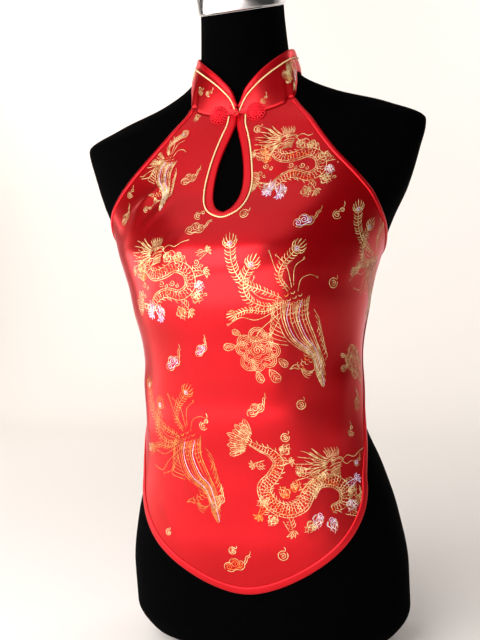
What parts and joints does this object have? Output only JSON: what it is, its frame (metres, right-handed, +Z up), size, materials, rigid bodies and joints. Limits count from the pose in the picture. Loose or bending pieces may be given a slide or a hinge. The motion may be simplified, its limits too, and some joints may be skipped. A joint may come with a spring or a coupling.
{
  "type": "qipao halter top on a limbless dress form",
  "caption": "Red brocade halter top with stand collar, keyhole and frog fastening, worn by a black dress form with a chrome neck cap.",
  "frame": {"origin": "on the floor, below the form's vertical axis, in its flat base", "axes": "+Z up; the form faces -Y; +X is the wearer's left"},
  "size_m": [0.404, 0.2719, 0.7738],
  "materials": {
    "black_jersey": "matt black stretch jersey",
    "cap_chrome": "polished chrome",
    "red_brocade": "glossy satin ground with woven gold, cream and lilac figures",
    "red_satin": "plain glossy satin bias strip",
    "red_cord": "thin satin-covered cord",
    "gold_cord": "thin pale gold piping"
  },
  "bodies": {
    "root": {"form_torso": "black_jersey", "neck_cap": "cap_chrome", "front_panel": "red_brocade", "collar": "red_brocade", "keyhole_binding": "red_satin", "collar_binding": "red_satin", "armhole_binding_left": "red_satin", "armhole_binding_right": "red_satin", "hem_binding": "red_satin", "keyhole_piping": "gold_cord", "collar_piping": "gold_cord", "frog_flower_left": "red_cord", "frog_flower_right": "red_cord", "frog_loop": "red_cord", "frog_stem": "red_cord", "frog_button": "red_cord", "tie_left": "red_satin", "tie_right": "red_satin", "tie_knot": "red_satin", "tie_end_left": "red_satin", "tie_end_right": "red_satin"}
  },
  "joints": []
}
